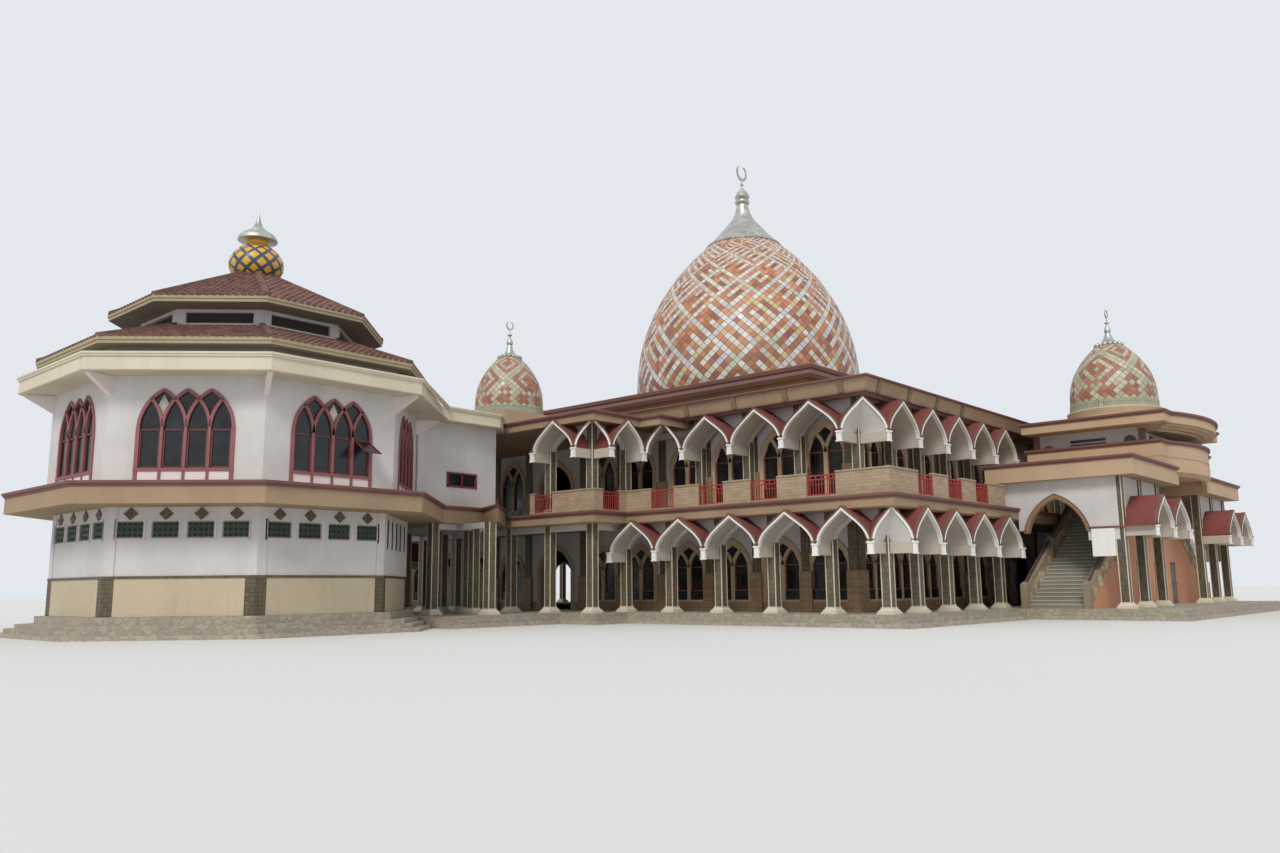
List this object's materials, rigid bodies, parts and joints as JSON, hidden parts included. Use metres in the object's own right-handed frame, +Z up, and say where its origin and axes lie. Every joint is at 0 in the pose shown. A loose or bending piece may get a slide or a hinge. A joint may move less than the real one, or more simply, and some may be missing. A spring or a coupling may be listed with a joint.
{
  "type": "half-scale model of a domed mosque building",
  "caption": "Prayer hall with stacked pointed-arch galleries, a large tiled dome, smaller domes on its arms, an octagonal pavilion and an entrance block with stairs.",
  "frame": {"origin": "on the plinth's underside, below the centre of the hall", "axes": "+X towards the entrance block, -Y towards the pavilion, +Z up"},
  "size_m": [26.39, 33.62, 15.1253],
  "materials": {
    "plaster": "matte painted plaster",
    "stucco": "matte beige stucco",
    "cream_stucco": "matte cream stucco",
    "salmon_plaster": "matte salmon plaster",
    "paving_stone": "rough stone and concrete",
    "stair_stone": "worn pale stone",
    "parapet_tile": "satin sand-coloured tile",
    "column_tile": "satin olive-brown tile",
    "roof_tile": "matte red-brown tile",
    "dome_tile": "satin terracotta tile",
    "yellow_tile": "satin yellow tile",
    "dark_edge": "matte purple-brown stucco",
    "painted_grille": "satin dark red paint",
    "metal": "satin sheet metal",
    "door_red": "satin red paint",
    "door_grey": "satin grey paint"
  },
  "bodies": {
    "building": {"attic_roof": "dark_edge", "attic_wall": "stucco", "east_dome": "dome_tile", "east_dome_finial": "metal", "entrance_roof": "stucco", "entrance_room": "plaster", "entrance_terrace": "stucco", "ground_arcade_ne": "plaster", "ground_arcade_nw": "plaster", "ground_arcade_se": "plaster", "ground_arcade_sw": "plaster", "ground_wall_east": "plaster", "ground_wall_north": "plaster", "ground_wall_south": "plaster", "ground_wall_west": "plaster", "link_columns": "column_tile", "link_walls": "plaster", "main_dome": "dome_tile", "main_dome_finial": "metal", "main_roof": "stucco", "north_dome": "dome_tile", "north_dome_finial": "metal", "parapet_ne": "parapet_tile", "parapet_nw": "parapet_tile", "parapet_se": "parapet_tile", "parapet_sw": "parapet_tile", "pavilion_clerestory": "painted_grille", "pavilion_eave": "cream_stucco", "pavilion_finial": "yellow_tile", "pavilion_floor": "stucco", "pavilion_lower_roof": "roof_tile", "pavilion_upper_roof": "roof_tile", "pavilion_upper_wall": "plaster", "pavilion_wall": "plaster", "plinth": "paving_stone", "porch_north": "plaster", "porch_south": "plaster", "south_dome": "dome_tile", "south_dome_finial": "metal", "stair_flight_north": "stair_stone", "stair_flight_south": "stair_stone", "stair_inner_wall": "salmon_plaster", "stair_outer_wall": "salmon_plaster", "terrace_parapet": "stucco", "upper_arcade_ne": "plaster", "upper_arcade_nw": "plaster", "upper_arcade_se": "plaster", "upper_arcade_sw": "plaster", "upper_floor": "stucco", "upper_wall_east": "plaster", "upper_wall_north": "plaster", "upper_wall_south": "plaster", "upper_wall_west": "plaster", "west_dome": "dome_tile", "west_dome_finial": "metal"},
    "left_door": {"door_left": "door_red"},
    "right_door": {"door_right": "door_grey"}
  },
  "joints": [
    {"name": "left_door_hinge", "type": "hinge", "parent": "building", "child": "left_door", "pos_m": [12.2953, -1.231, 0.25], "axis": [0, 0, 1], "range_deg": [0, 90]},
    {"name": "right_door_hinge", "type": "hinge", "parent": "building", "child": "right_door", "pos_m": [12.2953, 1.231, 0.25], "axis": [0, 0, -1], "range_deg": [0, 90]}
  ]
}
